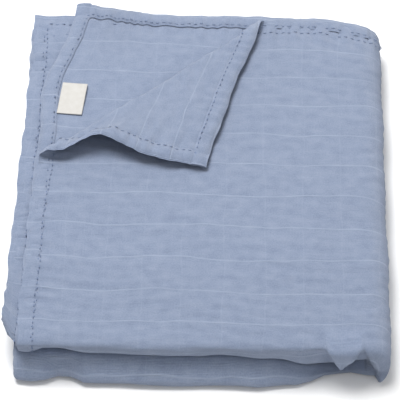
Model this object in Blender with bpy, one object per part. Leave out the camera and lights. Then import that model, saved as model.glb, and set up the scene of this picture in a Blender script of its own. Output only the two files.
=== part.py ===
# A muslin swaddle blanket: one hemmed sheet folded in half four times, sixteen layers deep,
# with the top corner turned back over the stack and a small label sewn beside the hem under it.
# Metres. X runs across from the hem side (left) to the rolled side (right), the front is -Y.
import bmesh
import bpy
import math
import numpy as np

for old in list(bpy.data.objects):
    bpy.data.objects.remove(old, do_unlink=True)

# The flat cloth, measured across (X) and along (Y) from the corner that ends up on top
CLOTH_ACROSS = 1.124
CLOTH_ALONG = 1.266
SHEET = 0.0010          # one layer of double gauze
HEM_SHEET = 0.0014      # where the edge is turned in twice
HEM_WIDTH = 0.013
PITCH = 0.0024          # from one resting layer to the next
TOP_LEFT = -0.121       # X of the top layer's left hem
TOP_BACK = 0.163        # Y of the top layer's back hem

# The folds in the order they are made. Each takes everything past its line under the rest.
# direction, line: distance of the fold from the top corner; take: cloth used by the bend;
# layers: how many lie on each other when it is made; square: 2 is round, more is boxier
FOLD_COLUMNS = ("direction", "line", "take", "layers", "square")
FOLDS = (
    ("along", 0.6278, 0.0044, 1, 2.0),
    ("across", 0.5504, 0.0116, 2, 2.0),
    ("along", 0.3005, 0.0300, 4, 3.4),
    ("across", 0.2460, 0.0580, 8, 2.3),
)

# The four cloth corners, from the top one down, are drawn out (or in) to the left and the back,
# fading out over the reach
CORNER_COLUMNS = ("across_end", "along_end", "left", "back", "reach")
CORNERS = (
    (0, 0, -0.025, -0.023, 0.150),
    (0, 1, -0.021, 0.008, 0.085),
    (1, 1, 0.001, -0.002, 0.080),
    (1, 0, 0.004, -0.010, 0.070),
)

# Where each panel of the stack is scored besides its folds, from the hem side and from the back
ACROSS_LINES = (0.013, 0.075, 0.135, 0.185, 0.210, 0.230)
ALONG_LINES = (0.013, 0.075, 0.140, 0.200, 0.250, 0.282)
BEND_CELLS = 7

# The top corner turned back over a slanting ridge
RIDGE_LEFT = 0.162      # where the ridge leaves the left hem, from the corner
RIDGE_BACK = 0.178      # where it leaves the back hem, from the corner
RIDGE_RADIUS = 0.0032
RIDGE_LOOSE = 0.0022    # extra radius at the ridge's left end
FLAP_LIFT = 0.0085      # how far the flap's front hem arches up
FLAP_DRAW = 0.0150      # and is drawn back toward the ridge
FLAP_ARCH = 0.050       # from the ridge's left end to the top of that arch
FLAP_DEEP = 0.055       # how far the arch reaches in from the hem

# How the folded stack settles
FRONT_REACH = 0.085
LOWER_OUT = 0.0065      # the lower group of layers stands out in front by this
UPPER_SHARE = 0.44      # the upper group's share of the height at the front
DROOP_SHARE = 0.60      # and where it sags, near the right
DROOP_AT = 0.222
DROOP_REACH = 0.034
CORNER_PULL = 0.016     # the back right corner is drawn in by this
TOP_SWELL = 0.0012      # the soft rise and fall of the top

# The label, its middle and size on the second layer, turned a little
LABEL_X = -0.0978
LABEL_Y = 0.0780
LABEL_WIDTH = 0.0195
LABEL_LENGTH = 0.0300
LABEL_SHEET = 0.0006
LABEL_TURN = math.radians(-5.0)
LABEL_CLEAR = 0.0006

HEIGHT = 15 * PITCH


def smooth(value):
    held = np.clip(value, 0.0, 1.0)
    return held * held * (3.0 - 2.0 * held)


def half_turn(square, count=160):
    """Half of a rounded box of radius one: arc fraction, reach outward and height."""
    angle = np.linspace(0.0, math.pi, count)
    out = np.abs(np.sin(angle)) ** (2.0 / square)
    up = np.sign(np.cos(angle)) * np.abs(np.cos(angle)) ** (2.0 / square)
    step = np.hypot(np.diff(out), np.diff(up))
    arc = np.concatenate(([0.0], np.cumsum(step)))
    return arc / arc[-1], out, up


def bend(run, height, line, take, axis, radius, square):
    """Carries what lies past the line round a bend and back again."""
    arc, out, up = half_turn(square)
    past = (run - line) / take
    reach = np.interp(past, arc, out) * radius
    rise = np.interp(past, arc, up) * radius
    bent = np.where(past < 0.0, run, np.where(past > 1.0, line - (run - line - take), line + reach))
    return bent, axis + rise


def fold_stack(across, along, height):
    for row in FOLDS:
        fold = dict(zip(FOLD_COLUMNS, row))
        axis = -(fold["layers"] - 0.5) * PITCH
        sizes = (fold["line"], fold["take"], axis, height - axis, fold["square"])
        if fold["direction"] == "across":
            across, height = bend(across, height, *sizes)
        else:
            along, height = bend(along, height, *sizes)
    return across, along, height


def shift_corners(flat_across, flat_along, across, along):
    for row in CORNERS:
        corner = dict(zip(CORNER_COLUMNS, row))
        side = abs(corner["across_end"] * CLOTH_ACROSS - flat_across)
        back = abs(corner["along_end"] * CLOTH_ALONG - flat_along)
        here = smooth(1.0 - side / corner["reach"]) * smooth(1.0 - back / corner["reach"])
        across = across - corner["left"] * here
        along = along - corner["back"] * here
    return across, along


def turn_corner(flat_across, flat_along, across, along, height):
    """Turns the top corner up and over the ridge, its loose hem arching off the stack."""
    on_top = (flat_across < FOLDS[3][1]) & (flat_along < FOLDS[2][1])
    length = math.hypot(RIDGE_LEFT, RIDGE_BACK)
    to_across, to_along = RIDGE_LEFT / length, RIDGE_BACK / length
    foot = RIDGE_LEFT * RIDGE_BACK / length
    toward = foot - (across * to_across + along * to_along)
    beside = across * to_along - along * to_across
    left_end = -RIDGE_LEFT * to_across
    from_left = beside - left_end
    radius = RIDGE_RADIUS + RIDGE_LOOSE * smooth(1.0 - from_left / 0.09)
    take = math.pi * radius
    arc, out, up = half_turn(2.0)
    past = toward / take
    reach = np.interp(past, arc, out) * radius
    rise = radius - np.interp(past, arc, up) * radius
    turned = np.where(past < 0.0, toward, np.where(past > 1.0, -(toward - take), reach))
    far = np.clip(-turned / foot, 0.0, 1.0)
    gone = np.maximum(RIDGE_LEFT - flat_along, 0.0) / FLAP_ARCH
    arch = (gone * np.exp(1.0 - gone)) ** 2 * np.exp(-((flat_across / FLAP_DEEP) ** 2))
    arch = arch * smooth(far * 4.0)
    settle = 2.0 * (radius - 0.0018) * smooth(far * 1.5 - 0.2)
    drop = np.where(past > 1.0, FLAP_LIFT * arch - settle, 0.0)
    moved = toward - turned
    new_across = across + moved * to_across
    new_along = along + moved * to_along - FLAP_DRAW * arch
    flap = on_top & (past > 0.0)
    return (
        np.where(flap, new_across, across),
        np.where(flap, new_along, along),
        np.where(flap, height + rise + drop, height),
    )


def settle_stack(across, along, height):
    """The slump of the whole stack: what lies on what stays so, and the underside stays flat."""
    depth = np.clip(-height / HEIGHT, 0.0, 1.0)
    over = np.maximum(height, 0.0)
    front = smooth((along - 0.315 + FRONT_REACH) / FRONT_REACH)
    sag = np.exp(-(((across - DROOP_AT) / DROOP_REACH) ** 2))
    share = 0.5 + (UPPER_SHARE - 0.5 + (DROOP_SHARE - UPPER_SHARE) * sag) * front
    depth = np.where(depth < 0.5, depth * 2.0 * share, share + (depth - 0.5) * 2.0 * (1.0 - share))
    wide = 0.035 + 0.30 * smooth((across - 0.215) / 0.05)
    low = smooth((depth - share) / (2.0 * wide) + 0.5)
    along = along + LOWER_OUT * front * low
    turn = smooth((across - 0.205) / 0.065)
    along = along + CORNER_PULL * turn * smooth(1.0 - along / 0.09)
    wave = np.sin(across * 21.0 + 0.6) * np.sin(along * 17.0 + 0.4)
    tall = HEIGHT + TOP_SWELL * wave - 0.002 * smooth(1.0 - along / 0.12)
    return across, along, (1.0 - depth) * tall + over


def place(flat_across, flat_along):
    """Where each point of the flat cloth ends up, measured from the middle of its thickness."""
    across, along, height = fold_stack(flat_across, flat_along, np.zeros_like(flat_across))
    across, along = shift_corners(flat_across, flat_along, across, along)
    across, along, height = turn_corner(flat_across, flat_along, across, along, height)
    across, along, height = settle_stack(across, along, height)
    return np.stack((TOP_LEFT + across, TOP_BACK - along, height + SHEET / 2.0), axis=1)


def normals(flat_across, flat_along):
    step = 0.00015
    one = place(flat_across + step, flat_along) - place(flat_across - step, flat_along)
    two = place(flat_across, flat_along + step) - place(flat_across, flat_along - step)
    facing = -np.cross(one, two)
    return facing / np.linalg.norm(facing, axis=1)[:, None]


def spread(start, end, count):
    return [start + (end - start) * i / count for i in range(1, count + 1)]


def stations(direction, length, lines):
    """Where the flat cloth is scored: the same lines in all four panels, closer ones in the bends."""
    first, second = [dict(zip(FOLD_COLUMNS, row)) for row in FOLDS if row[0] == direction]
    near = second["line"]
    far = near + second["take"]
    middle = first["line"]
    mirror = middle + first["take"]
    scored = [0.0] + [line for line in lines] + [near]
    scored += spread(near, far, BEND_CELLS)
    scored += [near + far - line for line in reversed(lines)] + [middle]
    scored += spread(middle, mirror, 3)
    whole = middle + mirror
    back = [whole - value for value in scored if 0.0 < value < middle and whole - value < length]
    ends = [length - HEM_WIDTH, length]
    scored += [value for value in back if min(abs(value - end) for end in ends) > 0.005]
    return sorted(scored + ends)


def flat_pattern():
    """The flat cloth scored along every fold line and, at the top corner, along the ridge."""
    sheet = bmesh.new()
    rows = stations("along", CLOTH_ALONG, ALONG_LINES)
    columns = stations("across", CLOTH_ACROSS, ACROSS_LINES)
    grid = [[sheet.verts.new((a, b, 0.0)) for a in columns] for b in rows]
    for low, high in zip(grid, grid[1:]):
        for i in range(len(columns) - 1):
            sheet.faces.new((low[i], low[i + 1], high[i + 1], high[i]))
    length = math.hypot(RIDGE_LEFT, RIDGE_BACK)
    normal = (RIDGE_LEFT / length, RIDGE_BACK / length, 0.0)
    for past in (-0.004, 0.0, 0.0025, 0.005, 0.0075, 0.011, 0.016):
        corner = [
            face
            for face in sheet.faces
            if max(v.co.x for v in face.verts) < FOLDS[3][1] + 0.001
            and max(v.co.y for v in face.verts) < FOLDS[2][1] + 0.001
        ]
        edges = {edge for face in corner for edge in face.edges}
        points = {vert for face in corner for vert in face.verts}
        at = (RIDGE_LEFT * RIDGE_BACK / length - past) / length
        bmesh.ops.bisect_plane(
            sheet,
            geom=list(points) + list(edges) + corner,
            dist=0.0005,
            plane_co=(at * RIDGE_LEFT, at * RIDGE_BACK, 0.0),
            plane_no=normal,
        )
    bmesh.ops.triangulate(sheet, faces=sheet.faces[:])
    return sheet


def folded_cloth(name):
    """Both faces of the cloth and the edge between them, joined into one closed body."""
    sheet = flat_pattern()
    sheet.verts.index_update()
    flat = np.array([vert.co[:2] for vert in sheet.verts])
    across, along = flat[:, 0], flat[:, 1]
    middle = place(across, along)
    facing = normals(across, along)
    edge = np.minimum.reduce((across, CLOTH_ACROSS - across, along, CLOTH_ALONG - along))
    half = np.where(edge < HEM_WIDTH + 0.0001, HEM_SHEET, SHEET)[:, None] / 2.0
    upper = middle + facing * half
    lower = middle - facing * half
    points = np.concatenate((upper, lower))
    points[:, 2] = np.maximum(points[:, 2], 0.0)
    count = len(middle)
    faces = []
    for face in sheet.faces:
        a, b, c = [vert.index for vert in face.verts]
        faces.append((c, b, a))
        faces.append((a + count, b + count, c + count))
    for rim in sheet.edges:
        if len(rim.link_faces) == 1:
            loop = rim.link_loops[0]
            a, b = loop.vert.index, loop.link_loop_next.vert.index
            faces.append((a, b, b + count))
            faces.append((a, b + count, a + count))
    sheet.free()
    mesh = bpy.data.meshes.new(name)
    mesh.from_pydata([tuple(point) for point in points], [], faces)
    mesh.update()
    return mesh


def lying_label(name):
    """A short tape lying on the second layer, its near end against the hem."""
    steps = 4
    tape = bmesh.new()
    sides = []
    for level in (0.0, LABEL_SHEET):
        for i in range(steps + 1):
            for side in (-0.5, 0.5):
                x = side * LABEL_WIDTH
                y = (i / steps - 0.5) * LABEL_LENGTH
                turned_x = x * math.cos(LABEL_TURN) - y * math.sin(LABEL_TURN)
                turned_y = x * math.sin(LABEL_TURN) + y * math.cos(LABEL_TURN)
                at = np.array([TOP_BACK - LABEL_Y - turned_y])
                reach = np.array([LABEL_X + turned_x - TOP_LEFT])
                bed = settle_stack(reach, at, np.array([-PITCH]))[2][0] + SHEET
                z = bed + LABEL_CLEAR + level
                sides.append(tape.verts.new((LABEL_X + turned_x, LABEL_Y + turned_y, z)))
    low, high = sides[: len(sides) // 2], sides[len(sides) // 2:]
    for i in range(steps):
        a, b, c, d = 2 * i, 2 * i + 1, 2 * i + 3, 2 * i + 2
        tape.faces.new((low[a], low[b], low[c], low[d]))
        tape.faces.new((high[a], high[b], high[c], high[d]))
        tape.faces.new((low[a], low[d], high[d], high[a]))
        tape.faces.new((low[b], low[c], high[c], high[b]))
    tape.faces.new((low[0], low[1], high[1], high[0]))
    tape.faces.new((low[-2], low[-1], high[-1], high[-2]))
    bmesh.ops.triangulate(tape, faces=tape.faces[:])
    bmesh.ops.recalc_face_normals(tape, faces=tape.faces[:])
    mesh = bpy.data.meshes.new(name)
    tape.to_mesh(mesh)
    tape.free()
    return mesh


def material(name, colour, roughness):
    made = bpy.data.materials.new(name)
    made.use_nodes = True
    shader = made.node_tree.nodes["Principled BSDF"]
    shader.inputs["Base Color"].default_value = (*colour, 1.0)
    shader.inputs["Roughness"].default_value = roughness
    shader.inputs["Metallic"].default_value = 0.0
    return made


cloth = folded_cloth("blanket")
tape = lying_label("label")

# The origin is the middle of the underside
reach = np.array([vert.co[:] for vert in cloth.vertices])
centre = (reach.min(axis=0) + reach.max(axis=0)) / 2.0
for mesh in (cloth, tape):
    for vert in mesh.vertices:
        vert.co.x -= centre[0]
        vert.co.y -= centre[1]

PIECES = (
    ("blanket", cloth, (0.305, 0.385, 0.560), 0.95),
    ("label", tape, (0.80, 0.79, 0.76), 0.80),
)
for name, mesh, colour, roughness in PIECES:
    mesh.materials.append(material(name + "_cloth", colour, roughness))
    piece = bpy.data.objects.new(name, mesh)
    bpy.context.collection.objects.link(piece)
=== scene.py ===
import math

import bpy
import numpy as np
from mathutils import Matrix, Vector


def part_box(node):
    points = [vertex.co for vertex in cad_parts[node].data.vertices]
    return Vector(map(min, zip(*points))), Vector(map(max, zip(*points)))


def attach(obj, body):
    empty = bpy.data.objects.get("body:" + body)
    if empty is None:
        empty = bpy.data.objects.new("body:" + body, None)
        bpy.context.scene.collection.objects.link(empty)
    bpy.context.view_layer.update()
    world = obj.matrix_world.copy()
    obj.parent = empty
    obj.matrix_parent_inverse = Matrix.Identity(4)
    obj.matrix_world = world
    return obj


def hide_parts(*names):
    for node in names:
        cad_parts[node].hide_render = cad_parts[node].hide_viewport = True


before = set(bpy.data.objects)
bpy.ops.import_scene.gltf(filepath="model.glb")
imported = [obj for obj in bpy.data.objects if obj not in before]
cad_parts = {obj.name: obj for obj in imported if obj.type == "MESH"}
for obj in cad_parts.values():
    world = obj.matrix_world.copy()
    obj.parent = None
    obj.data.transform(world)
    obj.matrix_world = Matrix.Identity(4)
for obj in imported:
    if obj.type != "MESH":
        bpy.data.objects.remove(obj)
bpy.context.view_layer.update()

bpy.ops.object.select_all(action="DESELECT")
print("frame loaded")

# The sheet of muslin, flat, in metres from the corner that ends up on top
cloth = {
    "across": 1.124,
    "along": 1.266,
    "pitch": 0.0024,        # one resting layer to the next
    "thick": 0.0010,
    "hemWidth": 0.013,
    "stitchIn": 0.0108,     # stitches from the edge
    "stitchPitch": 0.0050,
    "floor": 0.0002,        # nothing lies lower than this
}

# Each fold takes everything past its line under the rest, in the order it is made
folds = (
    {"run": "along", "line": 0.6278, "take": 0.0044, "layers": 1, "square": 2.0},
    {"run": "across", "line": 0.5504, "take": 0.0116, "layers": 2, "square": 2.0},
    {"run": "along", "line": 0.3005, "take": 0.0300, "layers": 4, "square": 3.4},
    {"run": "across", "line": 0.2460, "take": 0.0580, "layers": 8, "square": 2.3},
)

# The four corners of the cloth, top one first, drawn to the left and back over a reach
corners = (
    {"across": 0, "along": 0, "left": -0.012, "back": -0.019, "reach": 0.200},
    {"across": 0, "along": 1, "left": -0.021, "back": 0.008, "reach": 0.085},
    {"across": 1, "along": 1, "left": 0.001, "back": -0.002, "reach": 0.080},
    {"across": 1, "along": 0, "left": 0.004, "back": -0.010, "reach": 0.070},
)

# No hem lies quite straight: a slow and a quick wave along it, fading into the cloth
hemWaves = {
    "sides": {
        "tall": 0.0011, "tight": 83.0, "quickTall": 0.0004, "quickTight": 290.0, "quickStart": 2.0,
    },
    "ends": {
        "tall": 0.0009, "tight": 71.0, "quickTall": 0.0003, "quickTight": 250.0, "quickStart": 1.0,
    },
    "starts": (1.0, 0.7),   # the hem at 0, and the one across from it
    "fade": 0.020,
}

# The corner turned back over its ridge, which meets the left hem and the back hem at these places
flap = {
    "left": 0.155, "back": 0.178,
    "radius": 0.0032, "loose": 0.0022, "looseOver": 0.09,   # the bend is looser towards the left
    "rest": 0.0018,         # past the bend the cloth settles down to here
    "lift": 0.0135, "draw": 0.0130, "arch": 0.046, "deep": 0.050,
}

# How the stack slumps: the two rolls at the front part, and the upper one droops on the right
slump = {
    "frontAt": 0.315, "front": 0.085, "upperBack": 0.0050,
    "lowerOut": 0.0125, "lowerHeld": 0.75,      # held back where the upper roll droops over it
    "upperShare": 0.42, "droopShare": 0.90, "droopAt": 0.228, "droopReach": 0.036,
    "valley": 0.035, "valleyRight": 0.30, "valleyFrom": 0.215, "valleyOver": 0.05,
    "sideRound": 0.022, "sideOver": 0.016,      # the left overhang ends this much short of the front
    "cornerPull": 0.010, "cornerFrom": 0.205, "cornerOver": 0.065, "cornerReach": 0.09,
    "swell": 0.0012, "swellAcross": 21.0, "swellAlong": 17.0,
    "backSink": 0.002, "backReach": 0.12,
}

# The pleat where the front meets the rolled side: a wedge of cloth with a hollow to its right
pleat = {
    "from": 0.285, "over": 0.015, "edge": 0.0016,
    "top": 0.0360, "bottom": 0.0060, "leftTop": 0.2165, "tip": 0.2285, "rightTop": 0.2430,
    "wrapBottom": 0.2560, "proud": 0.0040, "hollow": 0.0065, "leftHollow": 0.0045, "leftOver": 0.030,
}

# Hollows at the left of the front, the pocket in the lower roll and the mouth above it, and ripples
hollows = {
    "pocketAt": 0.033, "pocketWide": 0.007, "pocketDeep": 0.0065,
    "mouthAt": 0.024, "mouthWide": 0.016, "mouthDown": 0.30, "mouthTall": 0.12, "mouthDeep": 0.0040,
    "ripple": 0.0007, "rippleTight": 95.0,
}

# Soft creases: long ones across the cloth, in patches, and short puckers square to each hem
creases = {
    "fine": 0.00030, "fineTight": 410.0, "patchLeast": 0.25,
    "finest": 0.00022, "finestTight": 690.0,
    "broad": 0.00045, "broadTight": 101.0,
    "upright": 0.00030, "uprightTight": 73.0,
    "pucker": 0.00075, "puckerTight": 520.0, "puckerSlow": 291.0,
    "puckerIn": 0.011, "puckerWide": 0.009,
}
stackHeight = 15 * cloth["pitch"]       # sixteen layers


def smooth(value):
    held = np.clip(value, 0.0, 1.0)
    return held * held * (3.0 - 2.0 * held)


def hump(value, middle, reach):
    return np.exp(-(((value - middle) / reach) ** 2))


def halfTurn(square, count=160):
    # half of a rounded square, from top to bottom, with the share of the way round at each place
    angle = np.linspace(0.0, math.pi, count)
    out = np.abs(np.sin(angle)) ** (2.0 / square)
    up = np.sign(np.cos(angle)) * np.abs(np.cos(angle)) ** (2.0 / square)
    step = np.hypot(np.diff(out), np.diff(up))
    arc = np.concatenate(([0.0], np.cumsum(step)))
    return arc / arc[-1], out, up


def foldStack(across, along, height):
    # bends everything past each line under the rest; height is 0 on top and falls with each layer
    for fold in folds:
        axis = -(fold["layers"] - 0.5) * cloth["pitch"]
        run = across if fold["run"] == "across" else along
        radius = height - axis
        arc, out, up = halfTurn(fold["square"])
        past = (run - fold["line"]) / fold["take"]
        reach = np.interp(past, arc, out) * radius
        height = axis + np.interp(past, arc, up) * radius
        back = 2.0 * fold["line"] + fold["take"] - run
        bent = np.where(past < 0.0, run, np.where(past > 1.0, back, fold["line"] + reach))
        if fold["run"] == "across":
            across = bent
        else:
            along = bent
    return across, along, height


def hemWave(which, run, edge, start):
    wave = hemWaves[which]
    slow = wave["tall"] * np.sin(run * wave["tight"] + start)
    quick = wave["quickTall"] * np.sin(run * wave["quickTight"] + wave["quickStart"] * start)
    return (slow + quick) * np.exp(-edge / hemWaves["fade"])


def shiftCorners(flatAcross, flatAlong, across, along):
    # draws the four corners apart and gives the hems their waves
    for corner in corners:
        side = abs(corner["across"] * cloth["across"] - flatAcross) / corner["reach"]
        back = abs(corner["along"] * cloth["along"] - flatAlong) / corner["reach"]
        here = smooth(1.0 - side) * smooth(1.0 - back)
        across = across - corner["left"] * here
        along = along - corner["back"] * here
    nearStart, farStart = hemWaves["starts"]
    across = across + hemWave("sides", flatAlong, flatAcross, nearStart)
    across = across + hemWave("sides", flatAlong, cloth["across"] - flatAcross, farStart)
    along = along + hemWave("ends", flatAcross, flatAlong, nearStart)
    along = along + hemWave("ends", flatAcross, cloth["along"] - flatAlong, farStart)
    return across, along


def turnCorner(flatAcross, flatAlong, across, along, height):
    # rolls the top corner back over the ridge, then arches its front hem
    onTop = (flatAcross < folds[3]["line"]) & (flatAlong < folds[2]["line"])
    length = math.hypot(flap["left"], flap["back"])
    toAcross, toAlong = flap["left"] / length, flap["back"] / length
    foot = flap["left"] * flap["back"] / length
    toward = foot - (across * toAcross + along * toAlong)
    fromLeft = across * toAlong - along * toAcross + flap["left"] * toAcross
    radius = flap["radius"] + flap["loose"] * smooth(1.0 - fromLeft / flap["looseOver"])
    take = math.pi * radius
    arc, out, up = halfTurn(2.0)
    past = toward / take
    reach = np.interp(past, arc, out) * radius
    rise = radius - np.interp(past, arc, up) * radius
    turned = np.where(past < 0.0, toward, np.where(past > 1.0, take - toward, reach))
    far = np.clip(-turned / foot, 0.0, 1.0)
    gone = np.maximum(flap["left"] - flatAlong, 0.0) / flap["arch"]
    arch = (gone * np.exp(1.0 - gone)) ** 2 * np.exp(-((flatAcross / flap["deep"]) ** 2))
    arch = arch * smooth(far * 4.0)
    settle = 2.0 * (radius - flap["rest"]) * smooth(far * 1.5 - 0.2)
    drop = np.where(past > 1.0, flap["lift"] * arch - settle, 0.0)
    moved = toward - turned
    turnedBack = onTop & (past > 0.0)
    return (
        np.where(turnedBack, across + moved * toAcross, across),
        np.where(turnedBack, along + moved * toAlong - flap["draw"] * arch, along),
        np.where(turnedBack, height + rise + drop, height),
    )


def slumpStack(across, along, height):
    # depth is the share of the stack above a point; the front parts where the share is crossed
    depth = np.clip(-height / stackHeight, 0.0, 1.0)
    over = np.maximum(height, 0.0)
    front = smooth((along - slump["frontAt"] + slump["front"]) / slump["front"])
    sag = hump(across, slump["droopAt"], slump["droopReach"])
    upper = slump["upperShare"]
    share = 0.5 + (upper - 0.5 + (slump["droopShare"] - upper) * sag) * front
    depth = np.where(depth < 0.5, depth * 2.0 * share, share + (depth - 0.5) * 2.0 * (1.0 - share))
    toRight = smooth((across - slump["valleyFrom"]) / slump["valleyOver"])
    wide = slump["valley"] + slump["valleyRight"] * toRight
    low = smooth((depth - share) / (2.0 * wide) + 0.5)
    lowerPart = smooth(1.15 * (depth - share) / (1.0 - share))
    lowerOut = slump["lowerOut"] * (1.0 - slump["lowerHeld"] * sag) * low * lowerPart
    along = along + front * (lowerOut - slump["upperBack"])
    along = along - slump["sideRound"] * front * smooth(-across / slump["sideOver"]) * (depth < 0.5)
    along = along + frontCreases(across, along, depth, (1.0 - depth) * stackHeight)
    turn = smooth((across - slump["cornerFrom"]) / slump["cornerOver"])
    along = along + slump["cornerPull"] * turn * smooth(1.0 - along / slump["cornerReach"])
    wave = np.sin(across * slump["swellAcross"] + 0.6)
    wave = wave * np.sin(along * slump["swellAlong"] + 0.4)
    sink = slump["backSink"] * smooth(1.0 - along / slump["backReach"])
    tall = stackHeight + slump["swell"] * wave - sink
    return across, along, (1.0 - depth) * tall + over


def frontCreases(across, along, depth, height):
    # how far each point of the front moves: out for the pleat, in for the hollows
    face = smooth((along - pleat["from"]) / pleat["over"])
    edge = pleat["edge"]
    down = np.clip((pleat["top"] - height) / (pleat["top"] - pleat["bottom"]), 0.0, 1.0)
    leftEdge = pleat["leftTop"] + (pleat["tip"] - pleat["leftTop"]) * down
    rightEdge = pleat["rightTop"] + (pleat["tip"] - pleat["rightTop"]) * down
    wrapEdge = pleat["rightTop"] + (pleat["wrapBottom"] - pleat["rightTop"]) * down
    inWedge = smooth((across - leftEdge) / edge) * smooth((rightEdge - across) / edge)
    inHollow = smooth((across - rightEdge) / edge) * smooth((wrapEdge - across) / edge)
    beside = smooth((leftEdge - across) / edge) * smooth(1.0 - (leftEdge - across) / pleat["leftOver"])
    moved = pleat["proud"] * inWedge * (1.0 - 0.3 * down) - pleat["hollow"] * inHollow
    moved = moved - pleat["leftHollow"] * beside * smooth(down * 3.0)
    pocket = hump(across, hollows["pocketAt"], hollows["pocketWide"]) * smooth((depth - 0.5) * 8.0)
    mouth = hump(across, hollows["mouthAt"], hollows["mouthWide"])
    mouth = mouth * hump(depth, hollows["mouthDown"], hollows["mouthTall"])
    moved = moved - hollows["pocketDeep"] * pocket - hollows["mouthDeep"] * mouth
    ripples = np.sin(across * hollows["rippleTight"] + 3.0 * np.sin(across * 33.0))
    ripples = hollows["ripple"] * ripples * smooth(depth * 3.0)
    return face * (moved + ripples)


def wrinkles(flatAcross, flatAlong):
    # how far each crease stands off the smooth cloth; every wave wanders a little
    edges = (flatAcross, cloth["across"] - flatAcross, flatAlong, cloth["along"] - flatAlong)
    runs = (flatAlong, flatAlong, flatAcross, flatAcross)
    wander = 6.0 * np.sin(flatAcross * 23.0) + 2.0 * np.sin(flatAcross * 71.0)
    patch = np.sin(flatAcross * 31.0 + flatAlong * 24.0) ** 2
    patch = creases["patchLeast"] + (1.0 - creases["patchLeast"]) * patch
    total = creases["fine"] * np.sin(flatAlong * creases["fineTight"] + wander) * patch
    wander = 4.0 * np.sin(flatAcross * 41.0 + flatAlong * 9.0)
    total += creases["finest"] * np.sin(flatAlong * creases["finestTight"] + wander)
    wander = 2.4 * np.sin(flatAcross * 17.0 + 1.0)
    total += creases["broad"] * np.sin(flatAlong * creases["broadTight"] + wander)
    wander = 1.8 * np.sin(flatAlong * 29.0)
    total += creases["upright"] * np.sin(flatAcross * creases["uprightTight"] + wander)
    for edge, run in zip(edges, runs):
        pucker = np.sin(run * creases["puckerTight"] + 2.5 * np.sin(run * 97.0))
        pucker = pucker + 0.6 * np.sin(run * creases["puckerSlow"] + 1.3)
        total += creases["pucker"] * pucker * hump(edge, creases["puckerIn"], creases["puckerWide"])
    return total


def place(flatAcross, flatAlong):
    across, along, height = foldStack(flatAcross, flatAlong, np.zeros_like(flatAcross))
    across, along = shiftCorners(flatAcross, flatAlong, across, along)
    across, along, height = turnCorner(flatAcross, flatAlong, across, along, height)
    across, along, height = slumpStack(across, along, height)
    return np.stack((across, -along, height + cloth["thick"] / 2.0), axis=1)


def facing(flatAcross, flatAlong):
    step = 0.0003
    one = place(flatAcross + step, flatAlong) - place(flatAcross - step, flatAlong)
    two = place(flatAcross, flatAlong + step) - place(flatAcross, flatAlong - step)
    normal = -np.cross(one, two)
    return normal / np.maximum(np.linalg.norm(normal, axis=1)[:, None], 1e-12)


def lay(flatAcross, flatAlong, off=0.0):
    # a point of the cloth, or of something off it by that much, in the part's own frame
    flatAcross, flatAlong = np.atleast_1d(flatAcross), np.atleast_1d(flatAlong)
    normal = facing(flatAcross, flatAlong)
    amount = wrinkles(flatAcross, flatAlong) + off
    points = place(flatAcross, flatAlong) + normal * amount[:, None] + frameShift
    points[:, 2] = np.maximum(points[:, 2], cloth["floor"])
    return points


def spread(start, end, pace):
    count = max(1, round((end - start) / pace))
    return [start + (end - start) * i / count for i in range(count)]


# How finely the flat cloth is divided: fine over the top panel and the bends, coarser inside
paces = {
    "hem": 0.0022, "top": 0.0022, "roll": 0.0026, "inside": 0.0095, "bend": 0.0012,
    "innerRoll": 0.0035, "under": 0.0060, "nearHem": 0.0036, "nearHemFrom": 0.05,
}


def scoreLines(run, length):
    first, second = [fold for fold in folds if fold["run"] == run]
    whole = 2.0 * first["line"] + first["take"]
    near, far = second["line"], second["line"] + second["take"]
    hem = cloth["hemWidth"]
    bendEnd = first["line"] + first["take"]
    lastStretch = length - hem - paces["nearHemFrom"]
    lines = spread(0.0, hem, paces["hem"]) + spread(hem, near, paces["top"])
    lines += spread(near, far, paces["roll"])
    lines += spread(far, first["line"], paces["inside"])
    lines += spread(first["line"], bendEnd, paces["bend"])
    lines += spread(bendEnd, whole - far, paces["inside"])
    lines += spread(whole - far, whole - near, paces["innerRoll"])
    lines += spread(whole - near, lastStretch, paces["under"])
    lines += spread(lastStretch, length - hem, paces["nearHem"])
    return np.array(lines + spread(length - hem, length, paces["hem"]) + [length])


# The middle of the laid cloth goes over the middle of the blanket's solid
cadLow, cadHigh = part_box("blanket")
sampleAcross, sampleAlong = np.meshgrid(
    np.linspace(0.0, cloth["across"], 260), np.linspace(0.0, cloth["along"], 260)
)
rawPoints = place(sampleAcross.ravel(), sampleAlong.ravel())
rawMiddle = (rawPoints.min(axis=0) + rawPoints.max(axis=0)) / 2.0
frameShift = np.array([
    (cadLow[0] + cadHigh[0]) / 2.0 - rawMiddle[0],
    (cadLow[1] + cadHigh[1]) / 2.0 - rawMiddle[1],
    0.0,
])


def meshObject(name, points, faces, flats=None):
    mesh = bpy.data.meshes.new(name)
    mesh.from_pydata([tuple(point) for point in points], [], faces)
    mesh.update()
    if flats is not None:
        layer = mesh.uv_layers.new(name="flat")
        corner = np.empty(len(mesh.loops), dtype=np.int32)
        mesh.loops.foreach_get("vertex_index", corner)
        layer.data.foreach_set("uv", flats[corner].astype(np.float32).ravel())
    mesh.polygons.foreach_set("use_smooth", [True] * len(mesh.polygons))
    piece = bpy.data.objects.new(name, mesh)
    bpy.context.collection.objects.link(piece)
    return piece


# The cloth, one mesh with its turned-in edge
columns = scoreLines("across", cloth["across"])
rows = scoreLines("along", cloth["along"])
gridAcross, gridAlong = np.meshgrid(columns, rows)
flatPoints = np.stack((gridAcross.ravel(), gridAlong.ravel()), axis=1)
points = lay(flatPoints[:, 0], flatPoints[:, 1])
wide = len(columns)
faces = []
for j in range(len(rows) - 1):
    for i in range(wide - 1):
        corner = j * wide + i
        faces.append((corner, corner + wide, corner + wide + 1, corner + 1))
allPoints, allFlats = [points], [flatPoints]
count = len(points)

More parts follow.
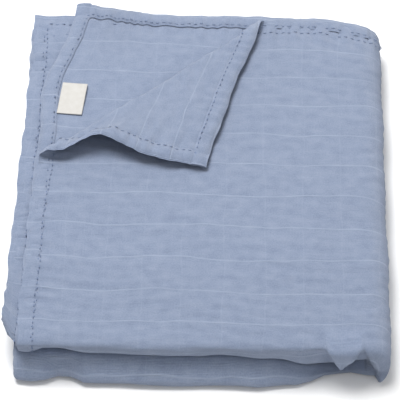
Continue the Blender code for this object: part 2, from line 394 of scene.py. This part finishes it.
# The turned-in edge, a strip on the wrong side along each hem
hemStrip = {
    "steps": (0.0, 0.0012, 0.006, 0.0115, 0.0128),          # in from the edge
    "offs": (0.0, -0.0016, -0.0020, -0.0020, -0.0008),      # off the cloth, on its wrong side
}
for side in ("left", "right", "back", "front"):
    if side in ("left", "right"):
        run = rows
        edge = 0.0 if side == "left" else cloth["across"]
        inward = 1.0 if side == "left" else -1.0
    else:
        run = columns
        edge = 0.0 if side == "back" else cloth["along"]
        inward = 1.0 if side == "back" else -1.0
    for step, off in zip(hemStrip["steps"], hemStrip["offs"]):
        inset = np.full_like(run, edge + inward * step)
        pair = (inset, run) if side in ("left", "right") else (run, inset)
        allPoints.append(lay(pair[0], pair[1], off))
        allFlats.append(np.stack(pair, axis=1))
    length = len(run)
    for level in range(len(hemStrip["steps"]) - 1):
        for i in range(length - 1):
            a = count + level * length + i
            quad = (a, a + 1, a + length + 1, a + length)
            faces.append(quad if side in ("left", "front") else quad[::-1])
    count += length * len(hemStrip["steps"])
blanket = meshObject("blanket_cloth", np.concatenate(allPoints), faces, np.concatenate(allFlats))
print("cloth laid,", len(faces), "faces")

# Stitches, one small bead of thread each, along every hem on both sides of the cloth
thread = {
    "length": 0.0030, "width": 0.0008, "proud": 0.0004,
    "sides": (0.0003, -0.0022),     # off the right side and off the hem's wrong side
    "roughness": 0.8,
    "dark": (0.170, 0.225, 0.370, 1), "light": (0.250, 0.320, 0.480, 1), "fleck": 900.0,
}
beadCorners = (         # along the stitch, across it, and up from the cloth
    (-0.5, 0.0, 0.0), (-0.2, 0.5, 0.4), (-0.2, -0.5, 0.4), (0.0, 0.0, 1.0),
    (0.2, 0.5, 0.4), (0.2, -0.5, 0.4), (0.5, 0.0, 0.0),
)
beadFaces = (
    (0, 1, 3), (0, 3, 2), (1, 4, 3), (2, 3, 5), (3, 4, 6), (3, 6, 5), (0, 2, 5, 6, 4, 1),
)
stitchPoints, stitchFaces = [], []
for side in ("left", "right", "back", "front"):
    upright = side in ("left", "right")
    length = cloth["along"] if upright else cloth["across"]
    farEdge = cloth["across"] if upright else cloth["along"]
    inset = cloth["stitchIn"]
    edge = inset if side in ("left", "back") else farEdge - inset
    at = np.arange(inset, length - inset, cloth["stitchPitch"])
    for off in thread["sides"]:
        bead = []
        for shiftRun, shiftEdge, lift in beadCorners:
            run = at + shiftRun * thread["length"]
            beside = np.full_like(at, edge + shiftEdge * thread["width"])
            raised = off + math.copysign(lift * thread["proud"], off)
            pair = (beside, run) if upright else (run, beside)
            bead.append(lay(pair[0], pair[1], raised))
        for i in range(len(at)):
            start = len(stitchPoints)
            stitchPoints.extend(part[i] for part in bead)
            for face in beadFaces:
                stitchFaces.append(tuple(start + corner for corner in face))
stitches = meshObject("hem_stitches", stitchPoints, stitchFaces)
bpy.context.view_layer.objects.active = stitches
stitches.select_set(True)
bpy.ops.object.mode_set(mode="EDIT")
bpy.ops.mesh.select_all(action="SELECT")
bpy.ops.mesh.normals_make_consistent(inside=False)
bpy.ops.object.mode_set(mode="OBJECT")
stitches.select_set(False)
print("stitches sewn,", len(stitchFaces), "faces")

# The sewn-in label, a bare tape shaped from a grid
label = {
    "across": 0.0195, "along": 0.0300, "turn": -5.0, "thick": 0.0005, "curl": 0.0007,
    "under": 0.0004,        # its top before the curl, below the top of the label's solid
    "dark": (0.488, 0.469, 0.436, 1), "light": (0.594, 0.587, 0.568, 1), "fleck": 260.0,
    "roughness": 0.75, "ribs": 500.0, "ribStrength": 0.3, "ribHeight": 0.0003,
}
labelLow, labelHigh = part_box("label")
labelMiddle = (Vector(labelLow) + Vector(labelHigh)) / 2.0
bpy.ops.mesh.primitive_grid_add(x_subdivisions=20, y_subdivisions=30, size=1.0, location=(0, 0, 0))
tape = bpy.context.object
tape.name = "label_tape"
tape.data.name = "label_tape"
turn = math.radians(label["turn"])
for vert in tape.data.vertices:
    x, y = vert.co.x * label["across"], vert.co.y * label["along"]
    bend = label["curl"] * (math.sin(vert.co.y * 5.0 + 0.5) * 0.5 + (vert.co.x + 0.5) ** 2)
    vert.co = (
        labelMiddle.x + x * math.cos(turn) - y * math.sin(turn),
        labelMiddle.y + x * math.sin(turn) + y * math.cos(turn),
        labelHigh[2] - label["under"] + bend,
    )
solid = tape.modifiers.new("tapeThickness", "SOLIDIFY")
solid.thickness = label["thick"]
solid.offset = -1.0
bpy.ops.object.modifier_apply(modifier=solid.name)
bpy.ops.object.shade_smooth()
tape.select_set(False)
print("label made")


def newMaterial(name):
    made = bpy.data.materials.new(name)
    made.use_nodes = True
    return made, made.node_tree.nodes, made.node_tree.links, made.node_tree.nodes["Principled BSDF"]


def mathNode(nodes, links, kind, one, two):
    node = nodes.new("ShaderNodeMath")
    node.operation = kind
    for socket, value in zip(node.inputs, (one, two)):
        if isinstance(value, (int, float)):
            socket.default_value = value
        else:
            links.new(value, socket)
    return node.outputs[0]


def noise(nodes, links, vector, scale, detail=2.0):
    node = nodes.new("ShaderNodeTexNoise")
    node.inputs["Scale"].default_value = scale
    node.inputs["Detail"].default_value = detail
    links.new(vector, node.inputs["Vector"])
    return node.outputs[0]


def twoTone(nodes, links, shader, amount, dark, light):
    ramp = nodes.new("ShaderNodeValToRGB")
    ramp.color_ramp.elements[0].color = dark
    ramp.color_ramp.elements[1].color = light
    links.new(amount, ramp.inputs[0])
    links.new(ramp.outputs[0], shader.inputs["Base Color"])


def reliefBump(nodes, links, shader, relief, strength, height):
    bump = nodes.new("ShaderNodeBump")
    bump.inputs["Strength"].default_value = strength
    bump.inputs["Distance"].default_value = height
    links.new(relief, bump.inputs["Height"])
    links.new(bump.outputs[0], shader.inputs["Normal"])


# Dusty blue muslin: mottled dye, a wide grid of thicker threads, fine plain weave and small creases
muslin = {
    "dark": (0.252, 0.312, 0.452, 1), "mid": (0.298, 0.362, 0.508, 1), "light": (0.350, 0.412, 0.552, 1),
    "darkAt": 0.34, "lightAt": 0.68, "mottle": 120.0, "grain": 950.0,
    "roughness": 0.92, "sheen": 0.25, "sheenRoughness": 0.5, "specular": 0.15,
    "line": (0.430, 0.505, 0.650, 1), "gridAcross": 0.0287, "gridAlong": 0.0287, "lineWidth": 0.0009,
    "upright": 0.28, "level": 1.0,          # how strongly the two sets of lines show
    "wobble": 14.0, "sway": 0.012, "fade": 45.0,
    "weave": 420.0, "weaveHeight": 0.35, "crease": 90.0, "creaseHeight": 2.0,
    "creaseStretch": (0.45, 1.6, 1.0), "lineHeight": 0.6, "bump": 0.8, "bumpHeight": 0.0011,
}
material, nodes, links, shader = newMaterial("dusty_blue_muslin")
shader.inputs["Roughness"].default_value = muslin["roughness"]
shader.inputs["Sheen Weight"].default_value = muslin["sheen"]
shader.inputs["Sheen Roughness"].default_value = muslin["sheenRoughness"]
shader.inputs["Specular IOR Level"].default_value = muslin["specular"]
flatMap = nodes.new("ShaderNodeUVMap")
flatMap.uv_map = "flat"
wobble = noise(nodes, links, flatMap.outputs[0], muslin["wobble"])
split = nodes.new("ShaderNodeSeparateXYZ")
links.new(flatMap.outputs[0], split.inputs[0])
sway = mathNode(nodes, links, "SUBTRACT", wobble, 0.5)
sway = mathNode(nodes, links, "MULTIPLY", sway, muslin["sway"])
strengths = []
for axis, gap, shows in (
    ("X", muslin["gridAcross"], muslin["upright"]),
    ("Y", muslin["gridAlong"], muslin["level"]),
):
    run = mathNode(nodes, links, "ADD", split.outputs[axis], sway)
    wave = mathNode(nodes, links, "PINGPONG", run, gap / 2.0)
    line = nodes.new("ShaderNodeMapRange")
    line.interpolation_type = "SMOOTHSTEP"
    line.inputs["From Min"].default_value = muslin["lineWidth"]
    line.inputs["From Max"].default_value = 0.0
    line.inputs["To Max"].default_value = shows
    links.new(wave, line.inputs["Value"])
    strengths.append(line.outputs[0])
gridLines = mathNode(nodes, links, "MAXIMUM", strengths[0], strengths[1])
fade = noise(nodes, links, flatMap.outputs[0], muslin["fade"])
broken = mathNode(nodes, links, "MULTIPLY", gridLines, fade)
mottle = noise(nodes, links, flatMap.outputs[0], muslin["mottle"], 5.0)
tone = nodes.new("ShaderNodeValToRGB")
tone.color_ramp.elements[0].position = muslin["darkAt"]
tone.color_ramp.elements[0].color = muslin["dark"]
tone.color_ramp.elements[1].position = muslin["lightAt"]
tone.color_ramp.elements[1].color = muslin["light"]
middle = tone.color_ramp.elements.new(0.5)
middle.color = muslin["mid"]
grain = noise(nodes, links, flatMap.outputs[0], muslin["grain"])
halves = [mathNode(nodes, links, "MULTIPLY", part, 0.5) for part in (mottle, grain)]
links.new(mathNode(nodes, links, "ADD", halves[0], halves[1]), tone.inputs[0])
mix = nodes.new("ShaderNodeMix")
mix.data_type = "RGBA"
links.new(broken, mix.inputs["Factor"])
links.new(tone.outputs[0], mix.inputs["A"])
mix.inputs["B"].default_value = muslin["line"]
links.new(mix.outputs["Result"], shader.inputs["Base Color"])
weave = []
for direction in ("X", "Y"):
    band = nodes.new("ShaderNodeTexWave")
    band.bands_direction = direction
    band.inputs["Scale"].default_value = muslin["weave"]
    band.inputs["Distortion"].default_value = 1.5
    band.inputs["Detail"].default_value = 1.0
    links.new(flatMap.outputs[0], band.inputs["Vector"])
    weave.append(band.outputs["Fac"])
threads = mathNode(nodes, links, "ADD", weave[0], weave[1])
threads = mathNode(nodes, links, "MULTIPLY", threads, muslin["weaveHeight"])
stretch = nodes.new("ShaderNodeMapping")
stretch.inputs["Scale"].default_value = muslin["creaseStretch"]
links.new(flatMap.outputs[0], stretch.inputs["Vector"])
crease = noise(nodes, links, stretch.outputs[0], muslin["crease"], 3.0)
crease = mathNode(nodes, links, "MULTIPLY", crease, muslin["creaseHeight"])
raised = mathNode(nodes, links, "MULTIPLY", broken, muslin["lineHeight"])
relief = mathNode(nodes, links, "ADD", threads, crease)
relief = mathNode(nodes, links, "ADD", relief, raised)
reliefBump(nodes, links, shader, relief, muslin["bump"], muslin["bumpHeight"])
blanket.data.materials.append(material)

# Sewing thread a little darker than the cloth
material, nodes, links, shader = newMaterial("sewing_thread")
shader.inputs["Roughness"].default_value = thread["roughness"]
coordinates = nodes.new("ShaderNodeTexCoord")
fleck = noise(nodes, links, coordinates.outputs["Object"], thread["fleck"])
twoTone(nodes, links, shader, fleck, thread["dark"], thread["light"])
stitches.data.materials.append(material)

# Off-white woven tape
material, nodes, links, shader = newMaterial("label_weave")
shader.inputs["Roughness"].default_value = label["roughness"]
coordinates = nodes.new("ShaderNodeTexCoord")
fleck = noise(nodes, links, coordinates.outputs["Object"], label["fleck"], 4.0)
twoTone(nodes, links, shader, fleck, label["dark"], label["light"])
ribs = nodes.new("ShaderNodeTexWave")
ribs.inputs["Scale"].default_value = label["ribs"]
links.new(coordinates.outputs["Object"], ribs.inputs["Vector"])
reliefBump(nodes, links, shader, ribs.outputs["Fac"], label["ribStrength"], label["ribHeight"])
tape.data.materials.append(material)
print("materials made")

for piece in (blanket, stitches, tape):
    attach(piece, "root")
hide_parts("blanket")
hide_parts("label")

# Plain pale floor, soft light from above and a weaker one from the right
studio = {
    "floorSize": 6.0, "floorDrop": 0.0005, "floorTone": (0.93, 0.93, 0.93, 1), "floorRoughness": 0.9,
    "sky": 0.42,
    "key": {"place": (-0.30, 0.36, 1.45), "size": 0.7, "power": 25.5},
    "fill": {"place": (0.9, -0.6, 1.4), "size": 1.2, "power": 2.5},
}
bpy.ops.mesh.primitive_plane_add(size=studio["floorSize"], location=(0, 0, -studio["floorDrop"]))
floor = bpy.context.object
floor.name = "floor"
material, nodes, links, shader = newMaterial("pale_floor")
shader.inputs["Base Color"].default_value = studio["floorTone"]
shader.inputs["Roughness"].default_value = studio["floorRoughness"]
floor.data.materials.append(material)

scene = bpy.context.scene
world = bpy.data.worlds.new("studio")
world.use_nodes = True
sky = world.node_tree.nodes["Background"]
sky.inputs["Color"].default_value = (1, 1, 1, 1)
sky.inputs["Strength"].default_value = studio["sky"]
scene.world = world
scene.view_settings.view_transform = "Standard"


def areaLight(name, settings):
    # a square light that faces the part's origin
    data = bpy.data.lights.new(name, "AREA")
    data.shape = "SQUARE"
    data.size = settings["size"]
    data.energy = settings["power"]
    lamp = bpy.data.objects.new(name, data)
    lamp.location = settings["place"]
    lamp.rotation_euler = (-Vector(settings["place"])).to_track_quat("-Z", "Y").to_euler()
    bpy.context.collection.objects.link(lamp)


areaLight("keyLight", studio["key"])
areaLight("fillLight", studio["fill"])

view = {
    "turn": math.radians(1.8), "above": math.radians(55.0), "far": 1.28,
    "aim": (0.0, -0.014, 0.018), "lens": 153.0, "sensor": 36.0,
}
sight = Vector((
    -math.sin(view["turn"]) * math.cos(view["above"]),
    math.cos(view["turn"]) * math.cos(view["above"]),
    -math.sin(view["above"]),
))
cameraData = bpy.data.cameras.new("camera")
cameraData.lens = view["lens"]
cameraData.sensor_width = view["sensor"]
camera = bpy.data.objects.new("camera", cameraData)
camera.location = Vector(view["aim"]) - sight * view["far"]
camera.rotation_euler = sight.to_track_quat("-Z", "Y").to_euler()
bpy.context.collection.objects.link(camera)
scene.camera = camera
print("stage set")
